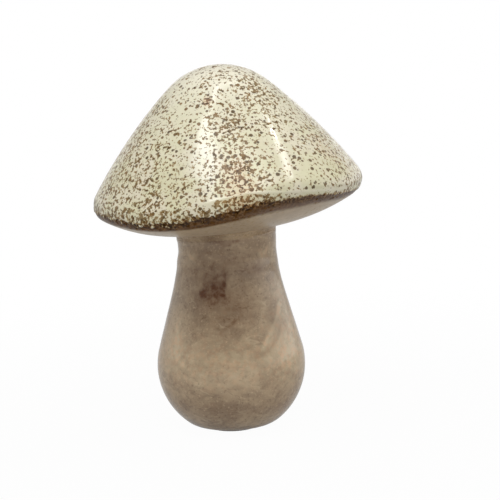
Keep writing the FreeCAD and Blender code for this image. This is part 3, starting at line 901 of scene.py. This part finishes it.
def speckled_cream(look, rust, fine, tan):
    """Cream coat with iron specks: its colour, and where the specks' dark middles are."""
    dense = look.value("speckle")
    shift = look.vector_math("SUBTRACT", {0: look.noise(1.1, 2, out="Color"), 1: (0.5, 0.5, 0.5)})
    wander = look.vector_math("MULTIPLY_ADD", {0: shift, 1: (0.6, 0.6, 0.6), 2: look.places()})
    # Blobs are noise over a threshold that falls where specks crowd
    blobs = look.noise(1.25, 2.6, 0.55, 0.0, wander)
    threshold = look.math("SUBTRACT", look.ramp(dense, 0.0, 1.0, 0.675, 0.513),
                          look.ramp(dense, 0.9, 1.5, 0.0, 0.026))
    over = look.math("SUBTRACT", blobs, threshold)
    halo = look.ramp(over, -0.034, 0.012)
    core = look.ramp(over, 0.0, 0.040)
    dots = dots_layer(look, wander, dense, cell=2.1, least=0.16, most=0.38, rare=0.52, often=0.70)
    pepper = dots_layer(look, wander, dense, cell=1.05, least=0.10, most=0.33, rare=0.24, often=0.80)
    dark = look.blend(look.noise(2.6, 2), 0.36, 0.70, "speck deep", "speck light")
    dark = look.tint(dark, "speck with rust", rust, 0.2, 1.2, 0.8)
    strong = look.ramp(look.noise(1.7, 2, 0.6), 0.36, 0.62, 0.50, 1.0)
    core = look.math("MAXIMUM", look.math("MULTIPLY", core, strong), look.math("MULTIPLY", dots, 0.92))
    coat = look.mix(look.math("MULTIPLY", halo, 0.75), cream_colour(look, rust), tan)
    coat = look.mix(look.math("MULTIPLY", pepper, 0.7), coat, look.mix(fine, tan, dark))
    return look.mix(core, coat, dark), core


def band_colour(look, cream_at):
    """Brown coat that shows at the brim, under the cream's ragged edge."""
    brown = look.blend(look.noise(2.2, 3, 0.6, 0.5), 0.35, 0.68, "brown deep", "brown")
    brown = look.tint(brown, "brown crumbs", look.noise(0.9, 3, 0.6), 0.46, 0.68, 0.70)
    return look.tint(brown, "brown drained", cream_at, -0.5, -1.9, 0.62)


def cap_material():
    material = bpy.data.materials.new("cap_glaze_speckled")
    look = Nodes(material)
    cream_at, rust, inner, raw = (look.value(name) for name in ("cream", "rust", "under", "raw"))
    fine = look.noise(0.55, 2, 0.6)
    tan = look.blend(rust, 0.1, 0.8, "tan", "tan with rust")
    coat, core = speckled_cream(look, rust, fine, tan)
    # The cream ends in a tan rim, and the band fades into taupe under the cap
    ragged = look.math("ADD", cream_at, look.math("MULTIPLY", look.math("SUBTRACT", fine, 0.5), 0.9))
    covered = look.ramp(ragged, -0.10, 0.18)
    coat = look.mix(look.ramp(ragged, 0.05, 0.45), tan, coat)
    taupe = look.tint(taupe_colour(look), "taupe by the band", inner, 28, 15, 0.62)
    sway = look.math("MULTIPLY", look.math("SUBTRACT", look.noise(4.0, 3), 0.5), 2.4)
    under = look.ramp(look.math("ADD", inner, sway), -1.4, 1.3)
    paint = look.mix(covered, look.mix(under, band_colour(look, cream_at), taupe), coat)
    paint = look.mix(raw, paint, clay_colour(look))
    specks = look.math("MULTIPLY", core, covered)
    gloss = look.math("MULTIPLY_ADD", specks, SPECK_ROUGHNESS,
                      look.ramp(covered, 0, 1, BROWN_ROUGHNESS, CREAM_ROUGHNESS))
    gloss = look.math("MULTIPLY_ADD", raw, CLAY_ROUGHNESS, gloss)
    shine = look.math("MULTIPLY_ADD", core, -0.22, look.ramp(covered, 0, 1, 0.22, 0.5))
    peel = look.bump(look.noise(3.2, 2, 0.5), PEEL_DEPTH)
    pits = look.bump(specks, -PIT_DEPTH, peel)
    look.finish(Base_Color=paint, Roughness=gloss, Normal=pits, IOR=GLAZE_IOR, Specular_IOR_Level=shine)
    return material


def stem_material():
    material = bpy.data.materials.new("stem_glaze_taupe")
    look = Nodes(material)
    dark, light, raw = (look.value(name) for name in ("dark", "light", "raw"))
    speckled = look.ramp(look.noise(2.6, 4, 0.6), 0.30, 0.70, 0.65, 1.35)
    # peach lays light marks and painted light; the iron colour lays dark patches and painted shade
    peach = look.blend(look.noise(2.2, 3, 0.6), 0.42, 0.62, "peach and painted light cool", "peach and painted light warm")
    tone = look.mix(look.math("MULTIPLY", light, speckled, clamp=True), taupe_colour(look), peach)
    dark_mark_and_shade_share = look.math("MULTIPLY", dark, speckled, clamp=True)
    tone = look.mix(dark_mark_and_shade_share, tone, colour("iron and painted shade on the stem"))
    tone = look.mix(raw, tone, clay_colour(look))
    gloss = look.math("MULTIPLY_ADD", look.noise(4.0, 2), STEM_DULLING, STEM_ROUGHNESS)
    gloss = look.math("MULTIPLY_ADD", raw, CLAY_ROUGHNESS, gloss)
    peel = look.bump(look.noise(3.5, 2, 0.5), PEEL_DEPTH)
    look.finish(Base_Color=tone, Roughness=gloss, Normal=peel, IOR=GLAZE_IOR)
    return material


def felt_material():
    material = bpy.data.materials.new("felt_brown")
    look = Nodes(material)
    fibres = look.noise(0.35, 4, 0.7, 1.5)
    paint = look.blend(fibres, 0.3, 0.7, "felt dark", "felt light")
    look.finish(Base_Color=paint, Roughness=FELT_ROUGHNESS, Normal=look.bump(fibres, FIBRE_DEPTH),
                Sheen_Weight=0.3)
    return material


# Camera at the photo's place: in metres, its roll in degrees and its lens in mm
CAMERA_PLACE, CAMERA_AIM = Vector((0, -0.5221, 0.1526)), Vector((0.008885, 0, 0.06885))
CAMERA_ROLL = -2.1
CAMERA_LENS, CAMERA_SENSOR = 98.64, 36.0
CAMERA_NEAR = 0.01


def make_camera():
    camera = add_object("camera", bpy.data.cameras.new("camera"))
    ahead = (CAMERA_AIM - CAMERA_PLACE).normalized()
    right = ahead.cross(Vector((0, 0, 1))).normalized()
    up = right.cross(ahead)
    roll = math.radians(CAMERA_ROLL)
    side = math.cos(roll) * right + math.sin(roll) * up
    top = -math.sin(roll) * right + math.cos(roll) * up
    turned = Matrix((side, top, -ahead)).transposed().to_4x4()
    camera.matrix_world = Matrix.Translation(CAMERA_PLACE) @ turned
    camera.data.sensor_width = CAMERA_SENSOR
    camera.data.lens = CAMERA_LENS
    camera.data.clip_start = CAMERA_NEAR
    bpy.context.scene.camera = camera


# Floor, lamps and surroundings, in metres and watts
WHITE, ROOM_WHITE = (1, 1, 1, 1), (1.0, 0.99, 0.97, 1)
FLOOR_GREY = (0.54, 0.54, 0.53, 1)
FLOOR_HALF, FLOOR_DROP = 3.0, -0.00005
MIDDLE = (0, 0, 0.09)
NO_TINT, DAYLIGHT = (1, 1, 1), (0.90, 0.95, 1.0)
LAMPS = {   # place, aim, width and depth, power, tint
    "overhead": ((-0.04, -0.62, 1.15), MIDDLE, (1.0, 0.8), 7.4, NO_TINT),
    "window": ((-0.405, -0.330, 1.077), MIDDLE, (0.25, 0.34), 1.35, DAYLIGHT),
    "tube_top": ((-0.03, 0.045, 1.12), MIDDLE, (1.05, 0.03), 1.35, NO_TINT),
    "tube_right": ((0.535, 0.015, 1.02), (0, -0.09, 0.09), (0.36, 0.016), 0.66, NO_TINT),
}


def floor_material():
    """White to the camera, partly so in reflections, and a plain matte grey to other light."""
    material = bpy.data.materials.new("floor_white")
    look = Nodes(material)
    matte = look.add("ShaderNodeBsdfDiffuse", {"Color": FLOOR_GREY})
    white = look.add("ShaderNodeEmission", {"Color": WHITE, "Strength": 1.0})
    path = look.add("ShaderNodeLightPath").outputs
    away = look.vector_math("LENGTH", {0: look.places()}, "Value")
    seen = look.math("MULTIPLY", path["Is Camera Ray"], look.ramp(away, 60, 320, 0.972, 1.0))
    share = look.math("MULTIPLY_ADD", path["Is Glossy Ray"], 0.40, seen)
    both = look.add("ShaderNodeMixShader", {"Fac": share, 1: matte.outputs[0], 2: white.outputs[0]})
    look.add("ShaderNodeOutputMaterial", {"Surface": both.outputs[0]})
    return material


def make_floor():
    mesh = bpy.data.meshes.new("floor")
    corners = [(x * FLOOR_HALF, y * FLOOR_HALF, FLOOR_DROP) for x, y in ((-1, -1), (1, -1), (1, 1), (-1, 1))]
    mesh.from_pydata(corners, [], [(0, 1, 2, 3)])
    floor = add_object("floor", mesh)
    mesh.materials.append(floor_material())


def make_lamps():
    for name, (place, aim, size, power, tint) in LAMPS.items():
        data = bpy.data.lights.new(name, "AREA")
        data.shape = "RECTANGLE"
        data.size, data.size_y = size
        data.energy = power
        data.color = tint
        light = add_object(name, data)
        light.location = place
        light.rotation_euler = (Vector(aim) - Vector(place)).to_track_quat("-Z", "Y").to_euler()


def make_world():
    """Soft room: darker in front, overhead and high at the back, brighter to the right."""
    world = bpy.data.worlds.new("studio")
    bpy.context.scene.world = world
    look = Nodes(world)
    where = look.add("ShaderNodeTexCoord").outputs["Generated"]
    toward = look.add("ShaderNodeSeparateXYZ", {0: where}).outputs
    front = look.ramp(toward["Y"], -1.0, 0.2, 0.54, 1.10)
    behind = look.ramp(toward["Y"], 0.20, 0.80, 1.0, look.ramp(toward["Z"], 0.10, 0.40, 0.80, 0.42))
    above = look.ramp(toward["Z"], 0.06, 0.52, 1.18, 0.40)
    slope = look.ramp(toward["Z"], -0.10, 0.45, 0.42, 0.12)
    beside = look.math("MULTIPLY_ADD", toward["X"], slope, 1.0)
    level = look.math("MULTIPLY", look.math("MULTIPLY", front, behind),
                      look.math("MULTIPLY", above, beside))
    room = look.add("ShaderNodeBackground", {"Color": ROOM_WHITE, "Strength": level})
    white = look.add("ShaderNodeBackground", {"Color": WHITE})
    seen = look.add("ShaderNodeLightPath").outputs["Is Camera Ray"]
    both = look.add("ShaderNodeMixShader", {"Fac": seen, 1: room.outputs[0], 2: white.outputs[0]})
    look.add("ShaderNodeOutputWorld", {"Surface": both.outputs[0]})


make_camera()
make_floor()
make_lamps()
make_world()
bpy.context.scene.view_settings.view_transform = "Standard"

cap_look, stem_look, felt_look = cap_material(), stem_material(), felt_material()
cap_dome = make_cap_dome(cap_look)
cap_saucer = make_cap_saucer(cap_look)
stem_body = make_stem(stem_look)
felt_disc = make_felt(felt_look)

for piece, slot_name, nodes in ((cap_dome, "cap_glaze", ("cap_shell", "rim_seam")),
                                (cap_saucer, "stem_glaze", ("cap_underside",)),
                                (stem_body, "stem_glaze", ("stem_shell", "neck_seam")),
                                (felt_disc, "felt", ("felt_pad",))):
    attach(piece, "root")
    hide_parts(*nodes)
